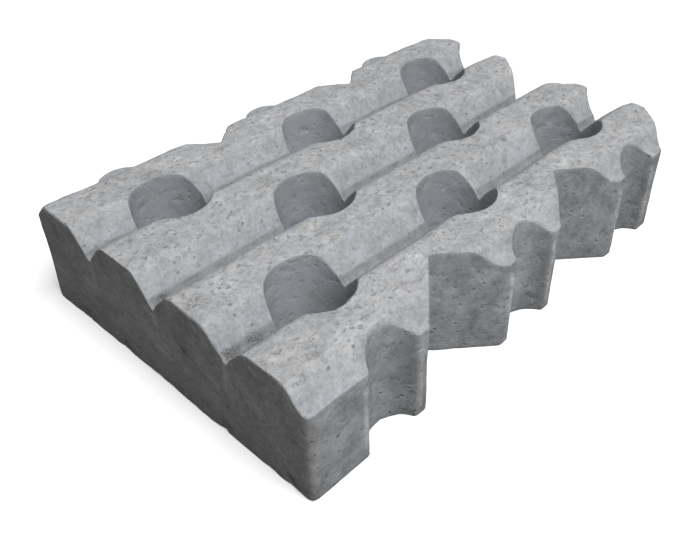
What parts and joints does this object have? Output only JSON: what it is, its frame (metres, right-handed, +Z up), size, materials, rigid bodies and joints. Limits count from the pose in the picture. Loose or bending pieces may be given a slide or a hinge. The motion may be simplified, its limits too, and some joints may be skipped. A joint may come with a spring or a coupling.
{
  "type": "concrete grass paver",
  "caption": "Rectangular ribbed concrete lawn grid stone with round through holes between the ribs, diamond notches in its edges and half-round interlocking lugs and recesses.",
  "frame": {"origin": "centre of the bounding box, lugs included, on the flat bed face", "axes": "+X along the ribs from the straight end to the notched end, +Y across the ribs towards the side with the lugs, +Z up out of the rib tops"},
  "size_m": [0.592, 0.411, 0.12],
  "materials": {
    "concrete": "dry, rough cast concrete, pale grey with small open pores"
  },
  "bodies": {
    "root": {"paver": "concrete"}
  },
  "joints": []
}
